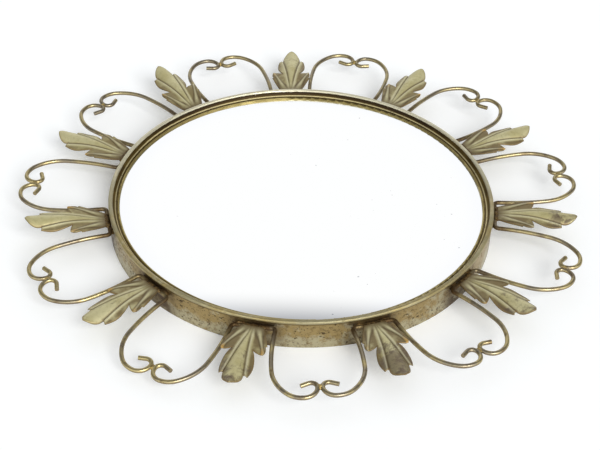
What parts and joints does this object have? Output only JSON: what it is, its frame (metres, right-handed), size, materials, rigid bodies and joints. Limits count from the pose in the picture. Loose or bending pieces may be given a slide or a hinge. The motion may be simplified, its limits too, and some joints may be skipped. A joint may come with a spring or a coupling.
{
  "type": "sunburst wall mirror",
  "caption": "Round wall mirror in a brass band with a rolled lip, ringed by open wire scroll hearts and embossed leaves, with a swinging hanger ring on the back.",
  "frame": {"origin": "on the mirror's axis, in the plane of the band's back edge (the wall plane)", "axes": "+Z out of the mirror's face, +Y to the top when it hangs, +X to the right seen from the front"},
  "size_m": [0.5362, 0.5313, 0.0361],
  "materials": {
    "band_brass": "mottled, pitted",
    "sight_brass": "dark, polished",
    "wire_brass": "worn, tarnished",
    "leaf_brass": "satin, patinated",
    "solder": "heat-tarnished",
    "silvered_glass": "silvered",
    "packing_paper": "matt paper felt",
    "hardboard": "hardboard",
    "tab_brass": "worn",
    "hanger_steel": "dull plated"
  },
  "bodies": {
    "mirror": {"frame_band": "band_brass", "sight_ring": "sight_brass", "mirror_glass": "silvered_glass", "packing_sheet": "packing_paper", "backing_board": "hardboard", "retaining_tabs": "tab_brass", "hanger_strap": "hanger_steel", "hanger_rivets": "hanger_steel", "heart_solder": "solder", "root_solder": "solder", "leaf_solder": "solder", "scroll_wire_01": "wire_brass", "scroll_wire_02": "wire_brass", "scroll_wire_03": "wire_brass", "scroll_wire_04": "wire_brass", "scroll_wire_05": "wire_brass", "scroll_wire_06": "wire_brass", "scroll_wire_07": "wire_brass", "scroll_wire_08": "wire_brass", "scroll_wire_09": "wire_brass", "scroll_wire_10": "wire_brass", "scroll_wire_11": "wire_brass", "leaf_01": "leaf_brass", "leaf_02": "leaf_brass", "leaf_03": "leaf_brass", "leaf_04": "leaf_brass", "leaf_05": "leaf_brass", "leaf_06": "leaf_brass", "leaf_07": "leaf_brass", "leaf_08": "leaf_brass", "leaf_09": "leaf_brass", "leaf_10": "leaf_brass", "leaf_11": "leaf_brass"},
    "hanger": {"hanger_ring": "hanger_steel"}
  },
  "joints": [
    {"name": "hanger_swing", "type": "hinge", "parent": "mirror", "child": "hanger", "pos_m": [0, 0.138, 0.01265], "axis": [-1, 0, 0], "range_deg": [0, 170]}
  ]
}
